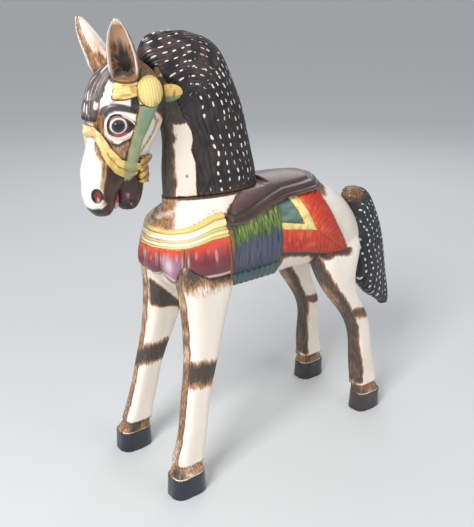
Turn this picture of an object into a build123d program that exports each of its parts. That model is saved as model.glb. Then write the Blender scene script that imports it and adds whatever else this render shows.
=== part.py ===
"""Carved and painted wooden horse, 45 cm tall, made of blocks that are pegged together.

Millimetres, +Z up, the horse faces -Y and its left side is +X. Every carved block is a loft
through a few stations, and each painted trapping is a thin carved layer that lies on the
block under it. The blocks are drawn about the middle of the four hooves, and save() moves
them so that the origin is on the ground below the middle of the bounding box.
"""

import os
from math import copysign, cos, pi, sin

from build123d import *

OUT = "parts"

# ---------------------------------------------------------------- driving dimensions
ORIGIN_Y = -9.7  # from the middle of the hooves to the middle of the bounding box

SEAM_Z = 288.0  # flat top of the body block, under the neck block
SEAM_GAP = 0.3  # hairline between the body block and the dry neck block
NECK_AXIS_Y = -62.0  # centre of the neck dowel
NECK_DOWEL_R = 8.0
NECK_DOWEL_DEPTH = 32.0  # how far the neck dowel goes into each block
NECK_SWEEP_R = 56.0  # what the turning foot of the neck needs
NECK_SWEEP_HEIGHT = 40.0
RUNNING_CLEARANCE = 0.05  # radial, on the dry neck dowel only
HOLE_END_GAP = 1.0  # past the end of every dowel

LEG_DOWEL_R = 5.0
LEG_DOWEL_DEPTH = 20.0
FORE_JOINT_Z = 184.0  # flat faces where the leg blocks meet the body block
HIND_JOINT_Z = 172.0
FOOT_Z = 33.0  # lower lip of each leg
HOOF_TOP_Z = 22.0
HOOF_TENON_R = 4.0
HOOF_TENON_Z = 10.0  # lowest point of the tenon inside the hoof
PASTERN_INSET = 1.6  # how far the pastern stands back from the lip of the leg
PASTERN_EDGE = 0.5  # how far it stands back from the top edge of the hoof

EAR_PEG_R = 2.5
TAIL_PEG_R = 5.0
TAIL_PEG_Y = (112.0, 150.0)
TAIL_PEG_Z = 236.0

BAND_THICK = 3.0  # breast band
FRINGE_THICK = 4.0  # breast fringe
GIRTH_THICK = 4.5
PANEL_THICK = 2.6  # middle of the saddle blanket
BORDER_THICK = 3.2
SKIRT_THICK = 4.0  # pleated edge of the saddle blanket
SADDLE_THICK = 8.0
STRAP_THICK = 2.6  # cheek strap and brow band
NOSE_BAND_THICK = 3.4
CHIN_STRAP_THICK = 4.0
ROSETTE_THICK = 4.2
BOSS_THICK = 5.0
FORELOCK_THICK = 3.6
FORELOCK_BACK_Y = -145.0

RING_POINTS = 16  # points of a lofted ring
CLEAR = 90.0  # reaches past the horse's sides from its middle
FRONT_Y = -230.0  # in front of the nose
ABOVE_Z = 440.0  # above the mane
BELOW_Z = 280.0  # below the foot of the neck

# ---------------------------------------------------------------- stations of the blocks
# Body barrel: y, centre z, half width, half height, squareness.
BARREL = [
    (-130, 239, 9, 9, 2.0),
    (-124, 239, 24, 24, 2.0),
    (-106, 238, 39, 42, 2.2),
    (-70, 237, 46, 49, 2.3),
    (-20, 236, 46, 49, 2.3),
    (35, 236, 46, 48, 2.3),
    (80, 228, 44, 47, 2.2),
    (108, 215, 38, 42, 2.1),
    (126, 206, 27, 31, 2.0),
    (135, 201, 12, 14, 2.0),
]

# Withers under the neck: z, centre y, half width, half length, taper towards the front.
WITHERS = [
    (225, -66, 40, 52, 0.0),
    (250, -64, 41, 54, 0.0),
    (272, -61, 35, 52, 0.05),
    (SEAM_Z, -61, 28, 52, 0.12),
]

# Neck without its mane: z, centre y, half width, half length, taper towards the front.
NECK = [
    (SEAM_Z + SEAM_GAP, -64, 23, 49, 0.2),
    (315, -66, 22, 47, 0.2),
    (345, -68, 21, 44, 0.15),
    (372, -76, 21, 45, 0.1),
    (396, -90, 20, 44, 0.0),
    (410, -98, 16, 36, 0.0),
    (420, -103, 9, 23, 0.0),
]

# Mane, whose back edge is the crest: z, centre y, half width, half length, taper.
MANE = [
    (SEAM_Z + SEAM_GAP, -53, 26, 45, 0.1),
    (300, -54, 26, 44.5, 0.1),
    (315, -56, 26, 43, 0.1),
    (345, -61, 25.5, 40, 0.1),
    (372, -69, 26, 40, 0.05),
    (392, -79, 25, 41.5, 0.0),
    (408, -88.3, 22.5, 43.7, 0.0),
    (420, -92.5, 18.5, 39.5, 0.0),
    (430, -97.5, 12, 28.5, 0.0),
    (435, -98.5, 5, 13, 0.0),
]

# Head: z, centre y, half width, half length, taper towards the nose.
HEAD = [
    (283, -176.5, 6.5, 6.5, 0.0),
    (287, -177.5, 11, 9.8, 0.0),
    (295, -178.5, 15, 13, 0.0),
    (304, -177.5, 16.5, 15, 0.0),
    (313, -173, 17.5, 20, 0.0),
    (324, -164.5, 18, 29, 0.0),
    (340, -157, 20.5, 31, 0.1),
    (356, -151.2, 25, 33.2, 0.15),
    (374, -148, 27, 35, 0.15),
    (392, -144.3, 25, 33.3, 0.1),
    (406, -138.5, 19, 27.5, 0.0),
    (415, -134, 11, 17, 0.0),
]

# Lower jaw: z, centre y, half width, half length, taper.
JAW = [
    (285, -151, 7, 7, 0.0),
    (290, -150.8, 10, 11, 0.0),
    (300, -150, 12, 13.8, 0.0),
    (312, -149.5, 13.5, 15, 0.0),
    (328, -151, 14, 14, 0.0),
]

# Legs from the hip down to the lip above the hoof: z, centre x, centre y, half width, half length.
FORELEG = [
    (236, 24, -84, 12, 26),
    (210, 31, -90, 16.5, 28),
    (FORE_JOINT_Z, 34, -93, 16, 22),
    (155, 37, -98, 14, 17.5),
    (128, 40.5, -104, 12.5, 14.5),
    (108, 42.5, -109.3, 11.6, 13.2),
    (75, 45.7, -116.2, 10.8, 12.8),
    (50, 47.8, -122, 11, 13.6),
    (FOOT_Z, 49.2, -126.2, 11.6, 14.8),
]
HINDLEG = [
    (222, 24, 81, 12, 28),
    (196, 31, 84, 17, 29),
    (HIND_JOINT_Z, 35, 83.5, 16, 21),
    (150, 38, 92, 13.8, 16.5),
    (128, 40.5, 106.3, 12, 13.8),
    (106, 42, 116.3, 10.8, 12),
    (70, 44.7, 120.8, 10.5, 13),
    (48, 46, 123.8, 11, 14.6),
    (FOOT_Z, 47, 125.8, 11.6, 15.8),
]

# Soles: centre x, centre y, half width, half length.
FORE_SOLE = (51, -130, 14, 18.8)
HIND_SOLE = (48.5, 128.5, 13.2, 18.6)
HOOF_TOP_RATIO = 0.95  # the hoof flares towards its sole
HOOF_SQUARENESS = 3.0
LEG_SQUARENESS = 4.0

# Tail: z, centre y, half width, half length.
TAIL = [
    (257, 140, 7, 7),
    (252, 143.5, 12, 15),
    (240, 148, 14.5, 21),
    (222, 155.5, 15.5, 23.5),
    (200, 164.5, 15.5, 24),
    (165, 173, 15, 25),
    (135, 182, 12.5, 24),
    (112, 197, 9, 15),
    (97, 207, 5, 6),
]

# Left ear: z, centre x, centre y, half width across the opening, half depth.
EAR = [
    (395, 14, -152.5, 6, 6.5),
    (400, 17.3, -156.3, 11, 12.5),
    (408, 19.8, -158.6, 12.6, 14.5),
    (418, 22.6, -161.2, 12.4, 13.5),
    (428, 26, -164.8, 10.8, 11.5),
    (437, 29, -167.8, 8.2, 8.4),
    (444, 31, -169.6, 4.6, 4.8),
    (448, 32, -170.5, 1.6, 1.8),
]
EAR_FACING = 52.0  # degrees that an ear's hollow turns from the front to the side
EAR_WALL = 2.4
EAR_TIP_R = 0.6  # where the hollow runs out
EAR_HOLLOW_SHIFT = 9.0  # moves the hollow forward, so that it opens
EAR_HOLLOW_WINDOW = [(-230, 401), (-100, 399), (-100, 460), (-230, 460)]  # in (y, z)
EAR_PEG_ENDS = ((15.0, -154.9, 415.0), (11.5, -150.0, 390.0))

# ---------------------------------------------------------------- side outlines, (y, z)
BREAST_BAND_TOP = [(-160, 263), (-122, 262), (-106, 266), (-96, 269), (-84, 273), (-72, 274)]
BREAST_BAND_LOW = [(-160, 246), (-124, 246), (-110, 248), (-91, 253), (-72, 254)]
FRINGE_LOW = [(-160, 222), (-125, 221), (-117, 213), (-112, 216), (-106, 219), (-72, 219)]
GIRTH = [(-72, 285), (-72, 203), (-66, 199), (-9, 199), (-9, 285)]
PANEL = [(-9, 320), (-9, 255), (22, 248), (9, 277), (9, 320)]
BORDER = [(-9, 255), (-9, 248), (39, 238), (21, 277), (21, 320), (9, 320), (9, 277), (22, 248)]
SKIRT = [(21, 320), (21, 277), (39, 238), (-9, 248), (-9, 224), (21, 218), (49, 210), (69, 203),
         (99, 194), (88, 210), (79, 224), (71, 236), (62, 252), (54, 270), (54, 320)]
SADDLE_LOW = [(-75, 263), (-54, 264), (-28, 270), (-10, 274), (6, 276.5), (49, 277.5), (58, 281)]
SADDLE_TOP = [(63, 290), (63, 320), (-4, 320), (-4, 289), (-39, 289), (-49, 285), (-58, 278),
              (-66, 271)]
MANE_EDGE = [(-139, 414), (-132, 407), (-126, 396), (-106, 386), (-110, 373), (-106, 364),
             (-96, 360), (-91, 350), (-89, 341), (-91, 332), (-87, 320), (-87, 280)]
NECK_CORE = [(-125, 280), (-18, 280), (-22, 315), (-28, 345), (-38, 372), (-52, 392),
             (-70, 402), (-100, 407), (-125, 407)]  # the part of the neck inside the mane
NECK_CORE_HALF = 14.0
BROW_BAND = [(-170, 384.5), (-163, 384), (-148, 387), (-148, 400), (-157, 398.5), (-167, 397)]
CHEEK_STRAP = [(-150, 378), (-155, 359), (-159, 342), (-161, 328), (-163, 315), (-153, 315),
               (-150, 330), (-147, 350), (-140, 365), (-132, 378)]
NOSE_BAND = [(-220, 363), (-184, 361.5), (-180, 355), (-175, 345), (-166, 334), (-158, 331),
             (-146, 328), (-146, 312), (-158, 314), (-172, 323), (-177.5, 331), (-180.5, 340),
             (-184, 354), (-220, 355.5)]
CHIN_STRAP = [(-146, 334), (-146, 311), (-120, 305), (-120, 330)]
ROSETTE = (-139.5, 389.5, 12.5, 13.0)  # centre y, centre z, half length, half height
BOSS = (-115.5, 385.0, 11.5, 7.8)
FORELOCK_FRONT = [(-9, 367), (9, 367), (11.5, 388), (10, 412), (-10, 412), (-11.5, 388)]  # (x, z)

EYE = (-167.0, 363.5, 10.0, 8.0)  # centre y, centre z, half length, half height
EYE_BALL_R = 14.0
EYE_FRONT_X = 24.0
EYE_BACK_X = 12.0
TONGUE = ((0.0, -164.3, 297.0), (7.0, 3.4, 11.0))  # centre, half sizes


# ---------------------------------------------------------------- helpers
def power_of(value, power):
    return copysign(abs(value) ** (2 / power), value)


def ring(place, half_a, half_b, power=2.0, taper=0.0, start=pi / 2):
    """A closed smooth ring that starts at an angle; place(a, b) puts a flat point in space."""
    points = []
    for i in range(RING_POINTS):
        angle = start + 2 * pi * i / RING_POINTS
        a = power_of(cos(angle), power)
        b = power_of(sin(angle), power)
        points.append(Vector(*place(half_a * a * (1 + taper * b), half_b * b)))
    return Face(Wire([Edge.make_spline(points, periodic=True)]))


def level_ring(z, x, y, half_x, half_y, power=2.0, taper=0.0, turn=0.0):
    """A ring in a level plane, turned about the vertical by an angle in degrees."""
    c = cos(turn * pi / 180)
    s = sin(turn * pi / 180)
    return ring(lambda a, b: (x + a * c - b * s, y + a * s + b * c, z), half_x, half_y, power, taper)


def level_loft(stations, grow=0.0):
    rings = [
        level_ring(z, 0, y, half_x + grow, half_y + grow, 2.0, taper)
        for z, y, half_x, half_y, taper in stations
    ]
    return loft(rings)


def barrel(grow=0.0):
    """The body barrel, with its two ends moved out by the same amount as its skin."""
    rings = []
    for i, (y, centre_z, half_x, half_z, power) in enumerate(BARREL):
        end = (i == len(BARREL) - 1) - (i == 0)
        place = lambda a, b, y=y + end * grow, z=centre_z: (a, y, z + b)
        rings.append(ring(place, half_x + grow, half_z + grow, power, 0.0, -pi / 2))
    return loft(rings)


def side_prism(points, half_depth=CLEAR):
    """A prism along X with an outline in (y, z)."""
    wire = Wire.make_polygon([Vector(-half_depth, y, z) for y, z in points], close=True)
    return extrude(Face(wire), amount=2 * half_depth, dir=(1, 0, 0))


def side_ellipse(centre_y, centre_z, half_y, half_z):
    """An elliptical prism along X."""
    plane = Plane(origin=(-CLEAR, centre_y, centre_z), x_dir=(0, 1, 0), z_dir=(1, 0, 0))
    return extrude(plane * Ellipse(half_y, half_z), amount=2 * CLEAR)


def ellipsoid(centre, half_sizes):
    return Pos(*centre) * scale(Sphere(1), by=half_sizes)


def left_eye():
    """A painted eye let into its socket, with a domed front."""
    y, z, _, _ = EYE
    ball = Pos(EYE_FRONT_X - EYE_BALL_R, y, z) * Sphere(EYE_BALL_R)
    behind = Pos(EYE_BACK_X - CLEAR / 2, y, z) * Box(CLEAR, CLEAR, CLEAR)
    return (ball & side_ellipse(*EYE)) - behind


def rod(radius, bottom, top):
    """A round rod between two points."""
    start = Vector(*bottom)
    axis = Vector(*top) - start
    plane = Plane(origin=start, z_dir=axis)
    return plane * Cylinder(radius, axis.length, align=(Align.CENTER, Align.CENTER, Align.MIN))


def biggest(shape):
    return max(shape.solids(), key=lambda solid: solid.volume)


def mirrored(shape):
    return mirror(shape, about=Plane.YZ)


def left_part(shape):
    """The largest piece on the left side after a cut."""
    return max((s for s in shape.solids() if s.center().X > 0), key=lambda s: s.volume)


def both_sides(name, shape):
    """A left piece and its mirror image."""
    return {name + "_left": shape, name + "_right": mirrored(shape)}


def save(pieces):
    os.makedirs(OUT, exist_ok=True)
    for node, shape in pieces.items():
        moved = biggest(shape).moved(Location((0, ORIGIN_Y, 0)))
        moved.label = node
        export_step(moved, os.path.join(OUT, node + ".step"))


# ---------------------------------------------------------------- body
def leg_loft(stations):
    return loft([level_ring(z, x, y, hx, hy, LEG_SQUARENESS) for z, x, y, hx, hy in stations])


def leg_dowel(stations, joint_z, extra=0.0):
    """The dowel of a leg, or with extra length its hole."""
    x, y = next((x, y) for z, x, y, _, _ in stations if z == joint_z)
    reach = LEG_DOWEL_DEPTH + extra
    return rod(LEG_DOWEL_R, (x, y, joint_z - reach), (x, y, joint_z + reach))


def hoof_and_leg(stations, sole, joint_z):
    """The left leg block with its pastern and tenon, and the hoof under it."""
    x, y, half_x, half_y = sole
    foot_x, foot_y, foot_half_x, foot_half_y = stations[-1][1:]
    shank = split(leg_loft(stations), bisect_by=Plane.XY.offset(joint_z), keep=Keep.BOTTOM)
    top_x = half_x * HOOF_TOP_RATIO
    top_y = half_y * HOOF_TOP_RATIO
    pastern = loft([
        level_ring(HOOF_TOP_Z, x, y, top_x - PASTERN_EDGE, top_y - PASTERN_EDGE, HOOF_SQUARENESS),
        level_ring(FOOT_Z, foot_x, foot_y, foot_half_x - PASTERN_INSET,
                   foot_half_y - PASTERN_INSET, HOOF_SQUARENESS),
    ])
    tenon = rod(HOOF_TENON_R, (x, y, HOOF_TENON_Z), (x, y, HOOF_TOP_Z))
    hole = rod(HOOF_TENON_R, (x, y, HOOF_TENON_Z - HOLE_END_GAP), (x, y, HOOF_TOP_Z))
    leg = shank + pastern + tenon - leg_dowel(stations, joint_z, HOLE_END_GAP)
    hoof = loft([
        level_ring(0, x, y, half_x, half_y, HOOF_SQUARENESS),
        level_ring(HOOF_TOP_Z, x, y, top_x, top_y, HOOF_SQUARENESS),
    ])
    return leg, hoof - hole


def neck_rod(radius, depth):
    """The neck dowel or, with more radius and depth, its hole through both blocks."""
    return rod(radius, (0, NECK_AXIS_Y, SEAM_Z - depth), (0, NECK_AXIS_Y, SEAM_Z + depth))


def neck_hole():
    return neck_rod(NECK_DOWEL_R + RUNNING_CLEARANCE, NECK_DOWEL_DEPTH + HOLE_END_GAP)


def tail_rod(extra=0.0):
    start, end = TAIL_PEG_Y
    return rod(TAIL_PEG_R, (0, start - extra, TAIL_PEG_Z), (0, end + extra, TAIL_PEG_Z))


def trapping(block, grow, outline):
    """A layer on the body barrel, as thick as grow, inside a side outline."""
    return (barrel(grow) & side_prism(outline)) - block


def body_pieces():
    block = barrel() + level_loft(WITHERS)
    for stations, joint_z in ((FORELEG, FORE_JOINT_Z), (HINDLEG, HIND_JOINT_Z)):
        stump = split(leg_loft(stations), bisect_by=Plane.XY.offset(joint_z), keep=Keep.TOP)
        block = block + stump + mirrored(stump)

    chest = barrel(BAND_THICK) + level_loft(WITHERS, BAND_THICK)
    band = (chest & side_prism(BREAST_BAND_TOP + BREAST_BAND_LOW[::-1])) - block
    fringe = trapping(block, FRINGE_THICK, BREAST_BAND_LOW + FRINGE_LOW[::-1])
    panel = trapping(block, PANEL_THICK, PANEL)
    border = trapping(block, BORDER_THICK, BORDER)
    skirt = trapping(block, SKIRT_THICK, SKIRT)
    sweep_top = SEAM_Z + NECK_SWEEP_HEIGHT
    neck_sweep = rod(NECK_SWEEP_R, (0, NECK_AXIS_Y, SEAM_Z), (0, NECK_AXIS_Y, sweep_top))
    saddle = trapping(block, SADDLE_THICK, SADDLE_LOW + SADDLE_TOP) - neck_sweep
    saddle = saddle - panel - border - skirt - band
    girth = trapping(block, GIRTH_THICK, GIRTH) - saddle

    tail = loft([level_ring(z, 0, y, half_x, half_y) for z, y, half_x, half_y in TAIL]) - block
    bores = neck_hole() + tail_rod(HOLE_END_GAP)
    pieces = {
        "breast_band": band,
        "breast_fringe": fringe,
        "blanket_panel": panel,
        "blanket_border": border,
        "blanket_skirt": skirt,
        "saddle": saddle,
        "tail": tail - tail_rod(HOLE_END_GAP),
        "tail_peg": tail_rod(),
    }
    pieces |= both_sides("girth_cloth", left_part(girth))
    legs = (("fore", FORELEG, FORE_SOLE, FORE_JOINT_Z), ("hind", HINDLEG, HIND_SOLE, HIND_JOINT_Z))
    for name, stations, sole, joint_z in legs:
        leg, hoof = hoof_and_leg(stations, sole, joint_z)
        dowel = leg_dowel(stations, joint_z)
        hole = leg_dowel(stations, joint_z, HOLE_END_GAP)
        bores = bores + hole + mirrored(hole)
        pieces |= both_sides(name + "leg", leg)
        pieces |= both_sides(name + "_hoof", hoof)
        pieces |= both_sides(name + "leg_dowel", dowel)
    pieces["torso"] = block - bores
    return pieces


# ---------------------------------------------------------------- neck and head
def ear_loft(shrink=0.0, forward=0.0):
    """The left ear, or with shrink the hollow inside it, moved forward out of the opening."""
    c = cos(EAR_FACING * pi / 180)
    s = sin(EAR_FACING * pi / 180)
    rings = []
    for z, x, y, half_width, half_depth in EAR:
        a = max(half_width - shrink, EAR_TIP_R)
        b = max(half_depth - shrink, EAR_TIP_R)
        rings.append(level_ring(z, x + forward * s, y - forward * c, a, b, turn=EAR_FACING))
    return loft(rings)


def ear_and_peg(head):
    """The left ear with its hollow, and the peg that holds it in the head."""
    hollow = ear_loft(EAR_WALL, EAR_HOLLOW_SHIFT) & side_prism(EAR_HOLLOW_WINDOW)
    top, bottom = EAR_PEG_ENDS
    return ear_loft() - head - hollow, rod(EAR_PEG_R, bottom, top)


def facing(head, grow, outline):
    """A layer on the head, as thick as grow, inside a side outline."""
    return (level_loft(HEAD, grow) & side_prism(outline)) - head


def head_pieces():
    behind_y = NECK_AXIS_Y + NECK_SWEEP_R
    mane_front = MANE_EDGE[0][0]
    under_mane = side_prism([(behind_y, BELOW_Z), (behind_y, ABOVE_Z), (mane_front, ABOVE_Z)] + MANE_EDGE)
    under_mane = under_mane - side_prism(NECK_CORE, NECK_CORE_HALF)
    block = level_loft(NECK) + level_loft(HEAD) + level_loft(JAW) - under_mane
    ear, peg = ear_and_peg(block)
    eye = left_eye()
    tongue = ellipsoid(*TONGUE) - block

    ears = ear + mirrored(ear)
    rosettes = (level_loft(HEAD, ROSETTE_THICK) & side_ellipse(*ROSETTE)) - block - ears
    bosses = (level_loft(NECK, BOSS_THICK) & side_ellipse(*BOSS)) - block - rosettes
    straps = facing(block, STRAP_THICK, CHEEK_STRAP) - rosettes
    brows = facing(block, STRAP_THICK, BROW_BAND) - rosettes - ears
    nose_band = facing(block, NOSE_BAND_THICK, NOSE_BAND) - straps
    chin_strap = level_loft(JAW, CHIN_STRAP_THICK) + level_loft(HEAD, CHIN_STRAP_THICK)
    chin_strap = (chin_strap & side_prism(CHIN_STRAP)) - block - nose_band - straps

    front = Wire.make_polygon([Vector(x, FRONT_Y, z) for x, z in FORELOCK_FRONT], close=True)
    window = extrude(Face(front), amount=FORELOCK_BACK_Y - FRONT_Y, dir=(0, 1, 0))
    forelock = (level_loft(HEAD, FORELOCK_THICK) & window) - block - ears
    before_mane = [(FRONT_Y, ABOVE_Z), (mane_front, ABOVE_Z)] + MANE_EDGE + [(FRONT_Y, BELOW_Z)]
    mane = level_loft(MANE) - side_prism(before_mane)
    mane = mane - side_prism(NECK_CORE, NECK_CORE_HALF) - bosses - ears

    pieces = {
        "neck_and_head": block - neck_hole() - peg - mirrored(peg) - eye - mirrored(eye),
        "mane": mane,
        "forelock": forelock,
        "tongue": tongue,
        "nose_band": nose_band,
        "chin_strap": chin_strap,
    }
    pieces |= both_sides("ear", ear - peg)
    pieces |= both_sides("ear_peg", peg)
    pieces |= both_sides("eye", eye)
    pieces |= both_sides("rosette", left_part(rosettes))
    pieces |= both_sides("strap_boss", left_part(bosses))
    pieces |= both_sides("cheek_strap", left_part(straps))
    pieces |= both_sides("brow_band", left_part(brows))
    return pieces


def main():
    pieces = body_pieces() | head_pieces()
    pieces["neck_dowel"] = neck_rod(NECK_DOWEL_R, NECK_DOWEL_DEPTH)
    save(pieces)
    print(len(pieces), "pieces")


main()
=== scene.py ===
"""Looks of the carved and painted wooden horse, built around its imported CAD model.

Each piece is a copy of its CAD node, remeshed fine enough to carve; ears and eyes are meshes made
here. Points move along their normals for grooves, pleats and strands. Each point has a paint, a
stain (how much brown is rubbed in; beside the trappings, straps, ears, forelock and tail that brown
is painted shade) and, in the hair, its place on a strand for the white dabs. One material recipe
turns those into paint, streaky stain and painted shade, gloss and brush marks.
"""
import math

import bpy
import numpy as np
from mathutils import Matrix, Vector
from mathutils.bvhtree import BVHTree
from mathutils.kdtree import KDTree


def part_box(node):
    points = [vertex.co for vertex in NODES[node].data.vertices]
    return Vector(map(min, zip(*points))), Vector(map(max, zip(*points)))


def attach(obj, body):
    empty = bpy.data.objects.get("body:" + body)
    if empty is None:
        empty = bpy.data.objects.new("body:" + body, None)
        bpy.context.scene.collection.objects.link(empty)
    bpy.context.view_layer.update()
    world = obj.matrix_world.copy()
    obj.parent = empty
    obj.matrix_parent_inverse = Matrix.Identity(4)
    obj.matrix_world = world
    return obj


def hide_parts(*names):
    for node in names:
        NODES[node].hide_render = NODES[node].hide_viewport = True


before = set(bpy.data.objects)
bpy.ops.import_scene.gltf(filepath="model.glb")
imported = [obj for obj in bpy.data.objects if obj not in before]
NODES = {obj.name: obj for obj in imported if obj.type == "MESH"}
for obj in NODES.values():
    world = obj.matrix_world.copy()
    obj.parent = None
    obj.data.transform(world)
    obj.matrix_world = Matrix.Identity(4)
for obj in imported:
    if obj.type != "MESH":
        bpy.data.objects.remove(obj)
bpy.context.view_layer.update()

BODY, HEAD = "horse_body", "head_group"
SIDES = (("left", 1.0), ("right", -1.0))

# Millimetres are measured from the middle of the four hooves, as the carving's own drawing is.
NECK_AXIS_Y = -62.0
_low, _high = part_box("neck_dowel")
SHIFT = np.array([0.0, (_low[1] + _high[1]) * 500 - NECK_AXIS_Y, 0.0])


# ---- small maths
def rgb(text):
    """A colour written as six hex digits, as linear numbers."""
    c = np.array([int(text[i:i + 2], 16) / 255 for i in (0, 2, 4)])
    return np.where(c <= 0.04045, c / 12.92, ((c + 0.055) / 1.055) ** 2.4)


def step(x, low, high):
    """0 below low, 1 above high, smooth between; low may be the larger."""
    t = np.clip((x - low) / (high - low), 0, 1)
    return t * t * (3 - 2 * t)


def bell(x, centre, width):
    return np.exp(-((x - centre) / width) ** 2)


def mix(a, b, m):
    return a + (b - a) * m[:, None]


def noise(points, size, seed=0):
    """Smooth random numbers from 0 to 1 with features of about that size in mm."""
    table = np.random.default_rng(seed).random(4096)
    p = points / size + 100.0
    cell = np.floor(p).astype(np.int64)
    f = p - cell
    f = f * f * (3 - 2 * f)
    total = np.zeros(len(points))
    for dx in (0, 1):
        for dy in (0, 1):
            for dz in (0, 1):
                key = (cell[:, 0] + dx) * 73 + (cell[:, 1] + dy) * 1151 + (cell[:, 2] + dz) * 2713
                weight = (f[:, 0] if dx else 1 - f[:, 0]) * (f[:, 1] if dy else 1 - f[:, 1])
                total += table[key % 4096] * weight * (f[:, 2] if dz else 1 - f[:, 2])
    return total


def line_distance(y, z, points):
    """Distance in the side view to a line through the points, and how far along it (0 to 1)."""
    best = np.full(len(y), 1e9)
    along = np.zeros(len(y))
    points = np.array(points, float)
    lengths = np.hypot(*(points[1:] - points[:-1]).T)
    done = 0.0
    for a, b, length in zip(points[:-1], points[1:], lengths):
        d = (b - a) / length
        t = np.clip((y - a[0]) * d[0] + (z - a[1]) * d[1], 0, length)
        dist = np.hypot(y - a[0] - t * d[0], z - a[1] - t * d[1])
        near = dist < best
        best = np.where(near, dist, best)
        along = np.where(near, (done + t) / lengths.sum(), along)
        done += length
    return best, along


def off_line(y, z, points):
    return line_distance(y, z, points)[0]


def inside(y, z, points):
    """Signed distance in the side view to a polygon, positive inside."""
    ring = list(points) + [points[0]]
    dist = off_line(y, z, ring)
    odd = np.zeros(len(y), bool)
    for (y0, z0), (y1, z1) in zip(ring[:-1], ring[1:]):
        if z0 == z1:
            continue
        cross = (z0 > z) != (z1 > z)
        odd ^= cross & (y < (y1 - y0) * (z - z0) / (z1 - z0) + y0)
    return np.where(odd, dist, -dist)


def length_of(points):
    return sum(math.dist(a, b) for a, b in zip(points[:-1], points[1:]))


def curve_at(x, points):
    """Height of a line through (x, height) points."""
    points = sorted(points)
    return np.interp(x, [p[0] for p in points], [p[1] for p in points])


# ---- meshes
def add_object(name, data):
    made = bpy.data.objects.new(name, data)
    bpy.context.scene.collection.objects.link(made)
    return made


def read(items, key, kind, width=3):
    values = np.empty(len(items) * width, kind)
    items.foreach_get(key, values)
    return values


def point_tree(points):
    tree = KDTree(len(points))
    for i, p in enumerate(points):
        tree.insert(p, i)
    tree.balance()
    return tree


def ring_faces(gaps, spokes):
    """Quads that fill the gaps between rings of points."""
    i = np.arange(gaps * spokes)
    j = i - i % spokes + (i + 1) % spokes
    return np.stack([i, i + spokes, j + spokes, j], 1)


# ---- carving
SMOOTHING = (0.6, -0.63)  # in, then out again, so that nothing shrinks


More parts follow.
